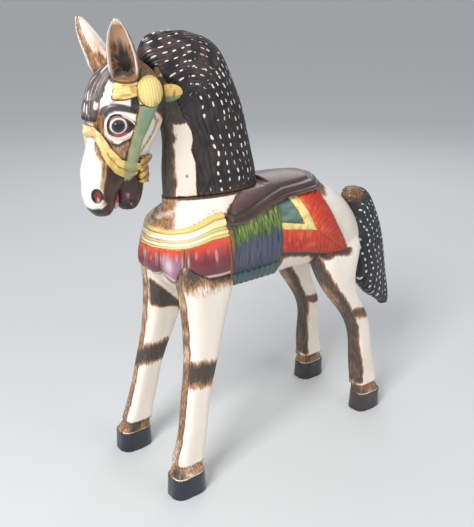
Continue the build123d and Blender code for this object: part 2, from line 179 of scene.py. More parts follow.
class Carving:
    """Points and faces of a piece while it is carved, in mm."""

    def __init__(self, points, faces, node=None):
        self.p = np.asarray(points, float)
        self.f = np.asarray(faces, np.int64)
        self.node = node
        self.fields = {}

    @classmethod
    def of(cls, voxel, rounds, *names):
        """CAD nodes joined, remeshed with cubes of that size in mm, and smoothed."""
        points, faces, count = [], [], 0
        for name in names:
            mesh = NODES[name].data
            mesh.calc_loop_triangles()
            points.append(read(mesh.vertices, "co", np.float32).reshape(-1, 3))
            faces.append(read(mesh.loop_triangles, "vertices", np.int32).reshape(-1, 3) + count)
            count += len(mesh.vertices)
        mesh = bpy.data.meshes.new("rough")
        mesh.from_pydata(np.concatenate(points).tolist(), [], np.concatenate(faces).tolist())
        rough = add_object("rough", mesh)
        remesh = rough.modifiers.new("voxels", "REMESH")
        remesh.mode = "VOXEL"
        remesh.voxel_size = voxel / 1000
        done = rough.evaluated_get(bpy.context.evaluated_depsgraph_get())
        fine = bpy.data.meshes.new_from_object(done)
        co = read(fine.vertices, "co", np.float32).reshape(-1, 3)
        quads = read(fine.loops, "vertex_index", np.int32, 1).reshape(-1, 4)
        for used in (mesh, fine):
            bpy.data.meshes.remove(used)
        carving = cls(co * 1000.0 - SHIFT, quads, names[0])
        carving.relax(rounds)
        return carving

    def edges(self):
        f = self.f
        e = np.concatenate([f[:, [i, (i + 1) % f.shape[1]]] for i in range(f.shape[1])])
        return np.unique(np.sort(e, axis=1), axis=0)

    def spread(self, values, strengths):
        """Averages numbers with those of the neighbouring points, once for each strength."""
        e = self.edges()
        a = np.concatenate([e[:, 0], e[:, 1]])
        b = np.concatenate([e[:, 1], e[:, 0]])
        n = len(self.p)
        count = np.maximum(np.bincount(a, minlength=n), 1)
        values = values.copy()
        for k in strengths:
            if values.ndim == 1:
                mean = np.bincount(a, values[b], n) / count
            else:
                mean = np.stack([np.bincount(a, values[b, i], n) / count for i in range(3)], 1)
            values += (mean - values) * k
        return values

    def relax(self, rounds):
        self.p = self.spread(self.p, SMOOTHING * rounds)

    def normals(self):
        c = self.p[self.f]
        face = np.cross(c[:, 2] - c[:, 0], c[:, -1] - c[:, 1])
        n = np.zeros_like(self.p)
        for i in range(3):
            for k in range(self.f.shape[1]):
                n[:, i] += np.bincount(self.f[:, k], face[:, i], len(self.p))
        return n / np.maximum(np.linalg.norm(n, axis=1), 1e-12)[:, None]

    def push(self, height):
        self.p = self.p + self.normals() * height[:, None]

    def part(self, keep):
        """The marked faces as a carving of their own."""
        faces = self.f[keep]
        used, index = np.unique(faces, return_inverse=True)
        part = Carving(self.p[used], index.reshape(faces.shape))
        part.fields = {k: v[used] for k, v in self.fields.items()}
        return part

    def coat(self, colour, other=None, amount=None):
        """Starts the paint with one colour, some of another, and neither stain nor painted shade."""
        self.fields = {"paint": np.tile(rgb(colour), (len(self.p), 1)), "stain_and_shade": np.zeros(len(self.p))}
        if other:
            self.tint(other, amount)

    def tint(self, colour, amount):
        """Brushes a colour over the paint; the amount is 0 to 1 for each point."""
        colour = rgb(colour) if isinstance(colour, str) else colour
        self.fields["paint"] = mix(self.fields["paint"], colour, amount)

    def rub_stain_and_shade(self, amount):
        """Rubs in brown where that is more than what is there: stain, and beside other parts painted shade.
        """
        self.fields["stain_and_shade"] = np.maximum(self.fields["stain_and_shade"], amount)

    def dab(self, lane, along, amount):
        """Says where white dabs go: on which strand, how far along it, and how many are kept."""
        self.fields |= {"lane": lane, "along": along, "dabs": amount}

    def place(self, body, slot_name, material, node=None, ending="_carved"):
        """Makes the piece that stands for a CAD node, by default the one it was carved from."""
        node = node or self.node
        name = node + ending
        mesh = bpy.data.meshes.new(name)
        mesh.from_pydata(((self.p + SHIFT) / 1000).tolist(), [], self.f.tolist())
        for key, values in self.fields.items():
            if values.ndim == 2:
                values = np.c_[values, np.ones(len(values))]
                layer = mesh.attributes.new(key, "FLOAT_COLOR", "POINT")
                layer.data.foreach_set("color", values.astype(np.float32).ravel())
            else:
                layer = mesh.attributes.new(key, "FLOAT", "POINT")
                layer.data.foreach_set("value", values.astype(np.float32))
        mesh.shade_smooth()
        piece = add_object(name, mesh)
        mesh.materials.append(material)
        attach(piece, body)
        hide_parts(node)


# ---- materials
class Nodes:
    """Short names for building a node tree."""

    def __init__(self, name):
        self.material = bpy.data.materials.new(name)
        self.material.use_nodes = True
        self.tree = self.material.node_tree
        self.shader = self.tree.nodes["Principled BSDF"]

    def new(self, kind, **values):
        node = self.tree.nodes.new(kind)
        for key, value in values.items():
            setattr(node, key, value)
        return node

    def link(self, source, target):
        self.tree.links.new(source, target)

    def attribute(self, name, output="Fac"):
        return self.new("ShaderNodeAttribute", attribute_name=name).outputs[output]

    def math(self, operation, *values):
        node = self.new("ShaderNodeMath", operation=operation)
        for i, value in enumerate(values):
            if isinstance(value, (int, float)):
                node.inputs[i].default_value = value
            else:
                self.link(value, node.inputs[i])
        return node.outputs[0]

    def add(self, a, b):
        return self.math("ADD", a, b)

    def minus(self, a, b):
        return self.math("SUBTRACT", a, b)

    def times(self, a, b):
        return self.math("MULTIPLY", a, b)

    def ramp(self, value, low, high, start=0.0, end=1.0):
        node = self.new("ShaderNodeMapRange", interpolation_type="SMOOTHSTEP")
        self.link(value, node.inputs["Value"])
        for key, number in (("From Min", low), ("From Max", high), ("To Min", start), ("To Max", end)):
            node.inputs[key].default_value = number
        return node.outputs["Result"]

    def noise(self, scale, detail=3.0, roughness=0.6):
        """Noise with its own scale along each axis, per metre."""
        where = self.new("ShaderNodeTexCoord").outputs["Object"]
        mapping = self.new("ShaderNodeMapping")
        mapping.inputs["Scale"].default_value = scale
        self.link(where, mapping.inputs["Vector"])
        node = self.new("ShaderNodeTexNoise")
        node.inputs["Scale"].default_value = 1.0
        node.inputs["Detail"].default_value = detail
        node.inputs["Roughness"].default_value = roughness
        self.link(mapping.outputs[0], node.inputs["Vector"])
        return node.outputs["Fac"]

    def mix(self, a, b, amount):
        node = self.new("ShaderNodeMix", data_type="RGBA")
        for value, socket in ((a, node.inputs[6]), (b, node.inputs[7]), (amount, node.inputs[0])):
            if hasattr(value, "is_linked"):
                self.link(value, socket)
            elif isinstance(value, (int, float)):
                socket.default_value = value
            else:
                socket.default_value = (*value, 1.0)
        return node.outputs[2]


DARK_STAIN = rgb("1d0e08")
TAN_STAIN = rgb("a8733f")
DAB_WHITE = rgb("ece6dc")
STAIN_MOST = 0.86  # stain above this counts as this
STAIN_BREAK_UP = 1.15, 1.2  # how far the streaks move the edge of the stain, and of its dark part
STAIN_EDGE = 0.22, 0.56
DARK_EDGE = 0.44, 0.84
DAB_SCATTER = 0.42  # sideways, in strands
BUMP_DISTANCE = 0.0006


def painted(name, rough=0.34, coat=0.16, streaks=(760, 760, 70), grain=0.12, dabs=None,
            dark=DARK_STAIN, tan=TAN_STAIN):
    """Brushed paint on carved wood, with brown rubbed in where each point asks for it: stain, and beside
    other parts painted shade.

    dabs: distance between white dabs along a strand in mm, how much of it a dab fills, and half the
    dab's width in strands."""
    n = Nodes(name)
    shader = n.shader
    streak = n.noise(streaks, 3.0, 0.62)
    mottle = n.noise((330, 330, 240), 4.0, 0.7)
    broad = n.noise((28, 28, 28), 2.0)
    rub_stain_and_shade = n.add(n.times(streak, 0.68), n.times(mottle, 0.32))
    stain_and_shade = n.math("MINIMUM", n.attribute("stain_and_shade"), STAIN_MOST)
    amount = n.ramp(n.add(stain_and_shade, n.times(n.minus(rub_stain_and_shade, 0.5), STAIN_BREAK_UP[0])), *STAIN_EDGE)
    depth = n.ramp(n.add(stain_and_shade, n.times(n.minus(rub_stain_and_shade, 0.5), STAIN_BREAK_UP[1])), *DARK_EDGE)
    paint = n.attribute("paint", "Color")
    worn = n.mix(paint, n.mix(paint, tan, 0.5), n.ramp(broad, 0.48, 0.75, 0.0, 0.22))
    brown = n.mix(tan, dark, depth)
    scratch = n.times(n.ramp(streak, 0.66, 0.74), n.ramp(broad, 0.45, 0.65))
    colour = n.mix(worn, brown, n.math("MAXIMUM", n.times(amount, 0.95), n.times(scratch, 0.4)))
    height = n.add(n.times(streak, 0.6), n.times(n.noise((1500, 1500, 260), 2.0), 0.4))
    if dabs:
        dab = white_dabs(n, mottle, *dabs)
        colour = n.mix(colour, tuple(DAB_WHITE), dab)
        height = n.add(height, n.times(dab, 0.8))
    n.link(colour, shader.inputs["Base Color"])
    gloss = n.ramp(mottle, 0.3, 0.7, rough - 0.05, rough + 0.08)
    n.link(n.add(gloss, n.times(amount, 0.14)), shader.inputs["Roughness"])
    shader.inputs["Coat Weight"].default_value = coat
    shader.inputs["Coat Roughness"].default_value = 0.18
    bump = n.new("ShaderNodeBump")
    bump.inputs["Strength"].default_value = grain
    bump.inputs["Distance"].default_value = BUMP_DISTANCE
    n.link(n.minus(height, n.times(amount, 0.3)), bump.inputs["Height"])
    n.link(bump.outputs["Normal"], shader.inputs["Normal"])
    return n.material


def white_dabs(n, mottle, period, duty, width):
    """1 where a white dab lies, from the lane, along and dabs fields."""
    lane = n.attribute("lane")
    along = n.math("DIVIDE", n.attribute("along"), period)
    lane_number = n.math("FLOOR", lane)
    random = n.new("ShaderNodeTexWhiteNoise", noise_dimensions="1D")
    n.link(lane_number, random.inputs["W"])
    shifted = n.add(along, n.times(random.outputs["Value"], 9.0))
    pick = n.new("ShaderNodeTexWhiteNoise", noise_dimensions="1D")
    n.link(n.add(n.times(lane_number, 17.0), n.math("FLOOR", shifted)), pick.inputs["W"])
    aside = n.times(n.minus(pick.outputs["Color"], 0.5), DAB_SCATTER)
    off_lane = n.math("ABSOLUTE", n.add(n.minus(n.math("FRACT", lane), 0.5), aside))
    off_cell = n.math("ABSOLUTE", n.minus(n.math("FRACT", shifted), 0.5))
    wobble = n.times(n.minus(mottle, 0.5), 0.25)
    a = n.math("POWER", n.math("DIVIDE", off_lane, width), 2.0)
    length = n.times(n.add(pick.outputs["Value"], 1.2), duty / 3.2)
    b = n.math("POWER", n.math("DIVIDE", off_cell, length), 2.6)
    shape = n.ramp(n.add(n.add(a, b), wobble), 1.3, 0.8)
    return n.times(shape, n.math("LESS_THAN", pick.outputs["Value"], n.attribute("dabs")))


# ---- colours
CREAM = "f1e6d8"
IVORY = "faf5ee"
OCHRE = "c0924a"


def side_view(c):
    return np.abs(c.p[:, 0]), c.p[:, 1], c.p[:, 2]


def near(c, names, reach, voxel=1.6):
    """For each point the distance to the nearest point of those nodes, up to reach, and how far
    above that point it is."""
    other = Carving.of(voxel, 0, *names)
    tree = point_tree(other.p)
    low = other.p.min(axis=0) - reach
    high = other.p.max(axis=0) + reach
    todo = np.where(((c.p > low) & (c.p < high)).all(axis=1))[0]
    dist = np.full(len(c.p), float(reach))
    above = np.zeros(len(c.p))
    for i in todo:
        co, _, d = tree.find(c.p[i])
        if d < reach:
            dist[i] = d
            above[i] = c.p[i][2] - co[2]
    return dist, above


# ---- body and legs
LEGS = (("foreleg", 184.0, -1), ("hindleg", 172.0, 1))  # name, height of the joint, which end
LEG_TOP = 215
KNEE_Z = 124, 108  # of the stain, left and right
HOCK_Z = 127, 117
THIGH_LINE = [(50, 206), (56, 188), (64, 172), (80, 150), (92, 132), (104, 110), (110, 60), (112, 40)]
LEG_LINE = [(33, 48.5), (75, 45.5), (128, 40.5), (184, 34), (210, 31), (236, 24)]


def body_and_legs(material):
    names = ["torso"] + [leg + "_" + side for leg, _, _ in LEGS for side, _ in SIDES]
    c = Carving.of(1.0, 7, *names)
    ax, y, z = side_view(c)
    n = c.normals()
    front_on = -n[:, 1]
    wave = noise(c.p, 9, 1) - 0.5

    # slight hollows and flats left by the knife
    c.push((noise(c.p * (1, 1, 0.4), 11, 2) - 0.5) * 0.5 + (noise(c.p * (1, 1, 0.3), 5, 3) - 0.5) * 0.22)

    # painted light: faces turned up and to the front get some ivory
    c.coat(CREAM, IVORY, step(n[:, 2] + 0.4 * front_on, 0.1, 0.8) * 0.6)
    leg = z < LEG_TOP
    fore = y < 0
    left = c.p[:, 0] > 0

    side_out = n[:, 0] * np.sign(c.p[:, 0])
    aside = c.p[:, 0] - np.sign(c.p[:, 0]) * curve_at(z, LEG_LINE)
    keep = np.where(left, step(aside + 2 * wave, 5.0, 2.0) * step(aside, -11, -9),
                    step(aside + 2 * wave, 2.5, -0.5))
    strip = step(front_on + 0.2 * wave, 0.5, 0.7) * step(z, 232, 222) * keep
    c.rub_stain_and_shade(strip * (0.56 + 0.3 * wave))
    verge = bell(aside + 2 * wave, np.where(left, 3.0, 0.5), 1.6) * step(front_on, 0.3, 0.6)
    c.rub_stain_and_shade(verge * leg * 0.74)
    knee_z = np.where(left, KNEE_Z[0], KNEE_Z[1] + 0.6 * aside) + 6 * wave
    knee = step(np.abs(z - knee_z), 21, 4)
    c.rub_stain_and_shade(knee * fore * np.where(left, 0.56 + 0.3 * step(aside, 0, 5), 0.9))
    hock_z = np.where(left, *HOCK_Z) - 0.1 * (y - 110) + 4 * wave
    c.rub_stain_and_shade(step(np.abs(z - hock_z), 10, 2.5) * (~fore) * 0.74)
    outer = step(side_out + 0.3 * left, -0.2, 0.2)
    hip = step(z, 190 + 16 * wave, 210 + 8 * wave) * step(z, 236, 226) * step(ax, 8, 16) * outer
    c.rub_stain_and_shade(hip * fore * (0.46 + 0.26 * step(z, 206, 218) + 0.4 * wave))
    below_chest = step(z + y, 88, 80) * step(z + 0.5 * y, 110 + 12 * wave, 120 + 8 * wave) * (1 - outer)
    c.rub_stain_and_shade(below_chest * fore * 0.9)
    thigh = off_line(y, z, THIGH_LINE)
    c.rub_stain_and_shade(step(thigh, 7.5 + 5 * wave, 1) * (~fore) * 0.8 * step(z, 212, 204))
    edges = step(n[:, 1], 0.45, 0.75) * leg * step(z, 212, 200)
    c.rub_stain_and_shade(edges * (0.34 + 0.5 * wave))
    c.rub_stain_and_shade(step(z, 37.0, 33.8) * (0.66 + 0.5 * wave) * step(z, 22.4, 23.6))

    # darker beside the trappings and the tail, more below them than above: painted shade where they meet the
    # body, rubbed in as brown; the round patch on the rump is stain
    d, above = near(c, ["blanket_skirt", "saddle"], 15)
    c.rub_stain_and_shade(step(d, 13 + 8 * wave, 1.0) * step(above, 1, -3) * 1.15)
    c.rub_stain_and_shade(step(d, 4 + 3 * wave, 0.8) * 0.85)
    rump = np.hypot((y - 66) / 13, (z - 278) / 12)
    c.rub_stain_and_shade(step(rump + 0.8 * wave, 1.25, 0.3) * 0.72)
    d, above = near(c, ["breast_fringe", "breast_band"], 14)
    c.rub_stain_and_shade(step(d, 2.6, 0.8) * 0.8 * step(above, 0, -1))
    c.rub_stain_and_shade(step(d, 8 + 9 * wave, 1) * 0.4 * step(above, 0, 2))
    c.rub_stain_and_shade(step(d, 12 + 6 * wave, 1) * step(above, 2, -2) * step(y, -113, -104))
    d, _ = near(c, ["girth_cloth_left", "girth_cloth_right"], 8)
    c.rub_stain_and_shade(step(d, 3.5, 0.8) * 0.9)
    d, _ = near(c, ["tail"], 12)
    c.rub_stain_and_shade(step(d, 10 + 6 * wave, 1) * 0.7)
    patch = step(np.hypot(ax / 27, (y + 124) / 24) + 0.5 * wave, 1.15, 0.75) * step(z, 258, 264)
    strokes = noise(c.p * (0.7, 0.7, 2.2), 6, 7) - 0.5
    c.rub_stain_and_shade(patch * (0.46 + 0.36 * strokes))
    c.tint("b0988c", patch * (0.62 + 0.5 * strokes))
    c.rub_stain_and_shade(step(z, 285.4, 287.4) * 0.9)
    withers = bell(y, -24, 22) * step(z, 268, 280)
    c.tint("c98a4c", withers * (0.5 + wave) * step(wave, -0.3, 0.2))
    c.rub_stain_and_shade(withers * 0.5)

    middle = c.p[c.f].mean(axis=1)
    body = np.ones(len(c.f), bool)
    for leg_name, joint_z, end in LEGS:
        for side, sign in SIDES:
            keep = (middle[:, 2] < joint_z) & (middle[:, 1] * end > 0) & (middle[:, 0] * sign > 0)
            body &= ~keep
            c.part(keep).place(BODY, "cream_paint", material, leg_name + "_" + side)
    c.part(body).place(BODY, "cream_paint", material, "torso")


def hooves():
    material = painted("hoof_paint", rough=0.3, coat=0.5, grain=0.1)
    for leg in ("fore", "hind"):
        for side, _ in SIDES:
            c = Carving.of(0.7, 2, leg + "_hoof_" + side)
            c.push((noise(c.p * (1, 1, 0.5), 6, 5) - 0.5) * 0.5)
            top = step(c.p[:, 2], 20.8, 21.8)
            c.coat("12161f", "1e2737", noise(c.p, 12, 6))
            c.rub_stain_and_shade(top * 0.3)
            c.place(BODY, "hoof_paint", material)


# ---- trappings on the body
BAND_TOP = [(-160, 263), (-122, 262), (-106, 266), (-96, 269), (-84, 273), (-72, 274)]
BAND_LOW = [(-160, 246), (-124, 246), (-110, 248), (-91, 253), (-72, 254)]
FRINGE_LOW = [(-160, 222), (-125, 221), (-117, 213), (-112, 216), (-106, 219), (-72, 219)]
CHEST_LINE = [(0, -130), (14, -128.5), (24, -124), (33, -116), (39, -106), (44, -90), (46, -72)]
FRINGE_CREASES = np.array([-16.0, 0.0, 16.0, 39.0, 92.0])  # along the chest line
SADDLE_LOW = [(-75, 263), (-54, 264), (-28, 270), (-10, 274), (6, 276.5), (49, 277.5), (58, 281)]
SKIRT_EDGE = [(-9, 224), (21, 218), (49, 210), (69, 203), (99, 194), (88, 210), (79, 224), (71, 236),
              (62, 252), (54, 270), (54, 290)]
LILAC_LOBE, MAROON_LOBE = 2, 3


def groove(x, width):
    """0 on the ridge, 1 in the narrow valley between ridges of that width."""
    return 1 - np.abs(np.sin(np.pi * x / width)) ** 0.6


def breast_band():
    c = Carving.of(0.55, 3, "breast_band")
    ax, y, z = side_view(c)
    top, low = curve_at(y, BAND_TOP), curve_at(y, BAND_LOW)
    f = (z - low) / (top - low) + 0.03 * (noise(c.p, 12, 11) - 0.5)
    lines = bell(f, 0.80, 0.035) + bell(f, 0.46, 0.03) + bell(f, 0.33, 0.03) + bell(f, 0.13, 0.03)
    c.push(-0.9 * np.minimum(lines, 1) + 0.7 * bell(f, 0.9, 0.09) + 0.5 * bell(f, 0.06, 0.07)
           + 0.3 * bell(f, 0.62, 0.15))
    front = step(ax, 22, 10)
    c.coat("faf3e2", "f3e4a4", step(y, -108, -84))
    yellow = np.maximum(step(f, 0.77, 0.82), np.maximum(step(f, 0.14, 0.11), bell(f, 0.395, 0.06)))
    c.tint("ead07c", yellow)
    c.tint("d9bf5c", front * step(noise(c.p * (1, 1, 4), 7, 12), 0.4, 0.6) * 0.7)
    # painted shade: the carved grooves tinted darker olive
    c.tint("8f8a4a", np.minimum(lines, 1) * 0.55)
    stain_and_shade = np.minimum(lines, 1) * (0.25 + 0.25 * front) + step(f, 0.95, 1.0) * 0.12 + front * 0.12
    c.rub_stain_and_shade(stain_and_shade * 0.9)
    c.place(BODY, "band_paint", painted("band_paint", grain=0.1))


def breast_fringe():
    c = Carving.of(0.6, 3, "breast_fringe")
    ax, y, z = side_view(c)
    _, along = line_distance(ax, y, CHEST_LINE)
    arc = along * length_of(CHEST_LINE)
    top, low = curve_at(y, BAND_LOW), curve_at(y, FRINGE_LOW)
    f = np.clip((z - low) / (top - low), 0, 1)
    lobe = np.clip(np.searchsorted(FRINGE_CREASES, arc) - 1, 0, len(FRINGE_CREASES) - 2)
    left, right = FRINGE_CREASES[lobe], FRINGE_CREASES[lobe + 1]
    across = (arc - left) / (right - left) * 2 - 1
    crease = step(np.abs(across), 0.9, 1.0)
    c.push(2.6 * (1 - np.abs(across) ** 2.2) * step(f, 1.0, 0.35) - 1.2 * crease * step(f, 1.0, 0.7)
           - 0.2 * groove(arc, 5.0) + 1.2 * bell(f, 0.25, 0.25))
    fall = f + 0.25 * (noise(c.p * (2, 2, 0.5), 8, 13) - 0.5) - 0.12 * step(np.abs(across), 0.4, 0.9)
    c.coat("dd4a30", "ad3f3a", step(fall, 0.95, 0.68))
    c.tint("6c3548", step(fall, 0.78, 0.32) * 0.97)
    c.tint("6e2c30", (lobe == MAROON_LOBE) * step(fall, 0.7, 0.4) * 0.8)
    lilac = (lobe == LILAC_LOBE) * step(np.abs(across), 1.0, 0.55)
    c.tint("9c7288", lilac * step(fall, 0.9, 0.55) * 0.85)
    # painted highlights: a pale patch on the lilac lobe, pale streaks at mid height and pale lines beside the
    # creases
    c.tint("e6d2da", lilac * bell(across + 0.15, 0, 0.3) * bell(f, 0.42, 0.26) * 0.75)
    streak = step(noise(c.p * (1.4, 1.4, 0.25), 5, 14), 0.6, 0.8)
    shine = streak * step(f, 0.95, 0.7) * step(f, 0.3, 0.5)
    c.tint("f2dfe0", shine * 0.3)
    c.tint("f2dcd0", bell(np.abs(across), 0.86, 0.04) * bell(f, 0.62, 0.2) * 0.45)
    rim = step(f, 0.1, 0.05)
    c.tint("efd9cc", rim * step(f, 0.0, 0.02) * 0.7)
    c.rub_stain_and_shade(crease * 0.7 + step(f, 0.30, 0.02) * 0.22 + step(ax, 12, 0) * 0.3 * step(f, 0.9, 0.3))
    c.rub_stain_and_shade(step(y, -75.5, -72.5) * 0.7)
    c.place(BODY, "fringe_paint", painted("fringe_paint", rough=0.28, coat=0.4, grain=0.08))


def girth():
    material = painted("girth_paint", rough=0.36, grain=0.1)
    for side, _ in SIDES:
        c = Carving.of(0.65, 3, "girth_cloth_" + side)
        _, y, z = side_view(c)
        wave = noise(c.p * (1, 1.5, 0.3), 5, 21) - 0.5
        hem = 213.5 + 1.6 * np.abs(np.sin(np.pi * y / 7.0)) + 2 * wave
        flute = groove(y + 1.5 * wave, 7.0)
        fine = groove(y + 0.6 + 2 * wave, 3.4)
        below = step(z, hem + 0.4, hem - 0.4)
        c.push(-0.9 * flute * (0.55 + 0.45 * below) - 0.35 * fine - 1.1 * bell(z, hem, 0.9)
               + 0.9 * bell(z, hem - 4, 4.5) * below + 0.5 * bell(z, 240, 20))
        fibre = noise(c.p * (1, 2.4, 0.2), 2.4, 22) - 0.5
        split = 245 + 0.11 * (y + 72) + 7 * wave + 14 * fibre
        c.coat("66812f", "33491f", step(fibre, 0, -0.3))
        c.tint("a9b25e", step(fibre, 0.08, 0.3) * 0.8)
        dark = np.maximum(step(z, 228, 216), step(fibre, 0, -0.3))
        slate = mix(rgb("4b566b")[None], rgb("2f384a"), dark)
        c.tint(slate, step(z, split + 3.5, split - 3.5))
        c.tint("3d6163", below * (0.75 + 0.5 * wave))
        # painted shade: the hem groove and the flutes tinted darker
        c.tint("22303c", np.minimum(bell(z, hem, 1.1) + flute * 0.35, 1) * 0.75)
        edge = np.maximum(step(y, -66.5, -70), step(y, -12.5, -10.3) * 0.6)
        c.tint("3a3830", edge * 0.7)
        c.rub_stain_and_shade(edge * 0.35 + step(z, 205, 200) * 0.3 + flute * 0.1)
        c.place(BODY, "girth_paint", material)


def blanket():
    c = Carving.of(0.6, 3, "blanket_panel")
    wave = noise(c.p * (1, 0.5, 1.4), 6, 31)
    c.push((wave - 0.5) * 0.5)
    c.coat("48685f", "71857a", step(wave, 0.35, 0.75))
    c.rub_stain_and_shade(step(c.p[:, 1], -4, -8.5) * 0.5)
    c.place(BODY, "panel_paint", painted("panel_paint"))

    c = Carving.of(0.5, 3, "blanket_border")
    _, y, z = side_view(c)
    edge = off_line(y, z, [(-9, 255), (22, 248), (9, 277), (9, 290)])
    outer = off_line(y, z, [(-9, 248), (39, 238), (21, 277), (21, 290)])
    c.push(0.6 * step(np.minimum(edge, outer), 0.3, 2.5))
    stroke = noise(c.p, 5, 32)
    c.coat("f7e59c", "e9c56a", step(stroke, 0.5, 0.8))
    c.rub_stain_and_shade(0.42 * step(np.minimum(edge, outer), 1.1, 0.2))
    c.place(BODY, "border_paint", painted("border_paint"))

    c = Carving.of(0.65, 3, "blanket_skirt")
    _, y, z = side_view(c)
    wave = noise(c.p, 7, 33) - 0.5
    below = (z - 238) * 60 + (y - 39) * 44 < 0
    lane = np.where(below, y + 0.1 * (z - 220), 0.86 * z - 0.51 * y) + 3.5 * wave
    edge = off_line(y, z, SKIRT_EDGE)
    inner = off_line(y, z, [(-9, 248), (39, 238), (21, 277), (21, 300)])
    pleat = groove(lane, 5.6) * step(noise(c.p, 9, 35), 0.1, 0.6)
    fold = bell((z - 238) * 60 + (y - 39) * 44, 0, 90) * (y > 40)
    c.push(-1.0 * pleat * step(inner, 1, 9) + 0.7 * step(edge, 0, 6)
           - 0.6 * step(inner, 1.4, 0.2) - 0.6 * fold)
    c.coat("de4526", "bd2818", step(edge + 9 * wave, 24, 6))
    c.tint("f57a48", step(noise(c.p, 5, 34), 0.6, 0.85) * step(inner, 26, 8) * 0.5)
    # a dark line along the edge, and painted shade in the pleats and the fold
    c.tint("4a1410", np.minimum(step(edge, 1.8, 0.6) + pleat * 0.3 + fold * 0.35, 1) * 0.85)
    c.rub_stain_and_shade(step(edge, 2.4, 0.6) * 0.4 + step(inner, 1.2, 0.3) * 0.35)
    c.place(BODY, "skirt_paint", painted("skirt_paint", grain=0.1))


def saddle():
    c = Carving.of(0.8, 6, "saddle")
    _, y, z = side_view(c)
    up = z - curve_at(y, SADDLE_LOW)
    rim = np.maximum(up, 0)
    lines = (bell(rim, 4.0, 0.9) * 0.7 + bell(rim, 9.2, 1.3)) * step(y, -72, -62) * step(y, 64, 56)
    c.push(-1.3 * lines + 0.7 * bell(rim, 7, 1.6) + 0.5 * step(rim, 11, 15)
           + (noise(c.p, 14, 41) - 0.5) * 0.5)
    wave = noise(c.p * (1, 0.4, 1), 8, 42)
    c.coat("46322f", "6b4c48", step(up, 8, 20))
    # painted sheen: greyish mauve on the top of the seat, towards the front
    c.tint("857377", step(up, 14, 26) * step(y, 30, 5) * 0.8)
    c.tint("8f5247", step(y, 20, 45) * step(up, 6, 20) * 0.7)
    # the lower flap and random patches darker, and painted shade in the grooves along the lower edge
    c.tint("2c1e1e", np.minimum(lines * 0.55 + step(rim, 1.6, 0.3) * 0.6 + (1 - wave) * 0.25, 1))
    c.rub_stain_and_shade(0.12 + 0.2 * step(rim, 3, 0.5))
    material = painted("saddle_paint", rough=0.32, coat=0.35, streaks=(200, 40, 200), grain=0.08)
    c.place(BODY, "saddle_paint", material)


# ---- hair
CREST = [(-8, 288), (-9.5, 300), (-13, 315), (-21, 345), (-29, 372), (-37.5, 392), (-44.6, 408), (-53, 420),
         (-69, 430), (-85.5, 435), (-98.5, 435.5), (-112, 433.5), (-125, 431), (-150, 427)]
MANE_EDGE = [(-139, 414), (-132, 407), (-126, 396), (-106, 386), (-110, 373), (-106, 364), (-96, 360),
             (-91, 350), (-89, 341), (-91, 332), (-87, 320), (-87, 280)]
DARK_SPOT = -98, 376  # behind the strap boss
TAIL_BACK = [(147, 257), (158, 252), (169, 240), (179, 222), (188.5, 200), (198, 165), (206, 135), (212, 112),
             (213, 97)]


def mane():
    c = Carving.of(0.75, 4, "mane")
    ax, y, z = side_view(c)
    dist, along = line_distance(y, z, CREST)
    wave = noise(c.p, 22, 51) - 0.5
    t = ax + dist + 7 * wave
    s = along * length_of(CREST)
    edge = off_line(y, z, MANE_EDGE)
    lock = step(edge, 15, 11) * step(z, 372, 362)
    curl = edge + 2.2 * np.sin(z / 5.5) + 3 * wave
    strand = np.where(lock > 0.5, groove(curl, 4.6), groove(t, 4.0))
    c.push(0.35 - 0.95 * strand - 0.5 * bell(np.abs(edge - 13), 0, 1.2) * step(z, 372, 362))
    shade = noise(c.p * (0.5, 1, 1), 6, 52)
    c.coat("35292a", "1b1718", step(shade, 0.35, 0.7))
    c.tint("574041", step(z, 385, 425) * step(shade, 0.6, 0.3) * 0.7)
    spot = np.hypot(y - DARK_SPOT[0], z - DARK_SPOT[1])
    c.tint("14121a", bell(spot, 0, 13) * 0.8)
    # painted shade: the grooves between the strands tinted darker
    c.tint("0f0c0d", strand * 0.55)
    root = step(z, 294, 289) * 0.5
    bare = np.maximum(lock, step(y, -112, -118) * step(z, 412, 404))
    bare = np.maximum(bare, bell(spot, 0, 12))
    c.rub_stain_and_shade(0.1 * shade + root)
    c.dab(t / 8.0, s, 0.85 * (1 - bare) * step(z, 290, 293))
    material = painted("mane_paint", rough=0.36, coat=0.2, dabs=(9.0, 0.46, 0.09), tan=rgb("5a3c30"),
                       grain=0.15)
    c.place(HEAD, "mane_paint", material)


def tail():
    c = Carving.of(0.75, 4, "tail")
    ax, y, z = side_view(c)
    dist, along = line_distance(y, z, TAIL_BACK)
    t = ax * 0.8 + dist + 5 * (noise(c.p, 20, 53) - 0.5)
    s = along * length_of(TAIL_BACK)
    strand = groove(t, 4.4)
    c.push(0.3 - 0.95 * strand)
    shade = noise(c.p * (1, 1, 0.4), 6, 54)
    c.coat("101a24", "1b2a36", step(shade, 0.4, 0.7))
    root = step(z, 234, 252) * step(y, 158, 142)
    c.tint("4c3a38", root * 0.9)
    # painted shade: the grooves between the strands tinted darker
    c.tint("070a0f", strand * 0.5)
    c.rub_stain_and_shade(root * 0.35)
    c.dab(t / 6.5, s, 0.92 * (1 - root * 0.8))
    material = painted("tail_paint", rough=0.34, coat=0.25, dabs=(8.4, 0.42, 0.11), grain=0.15)
    c.place(BODY, "tail_paint", material)


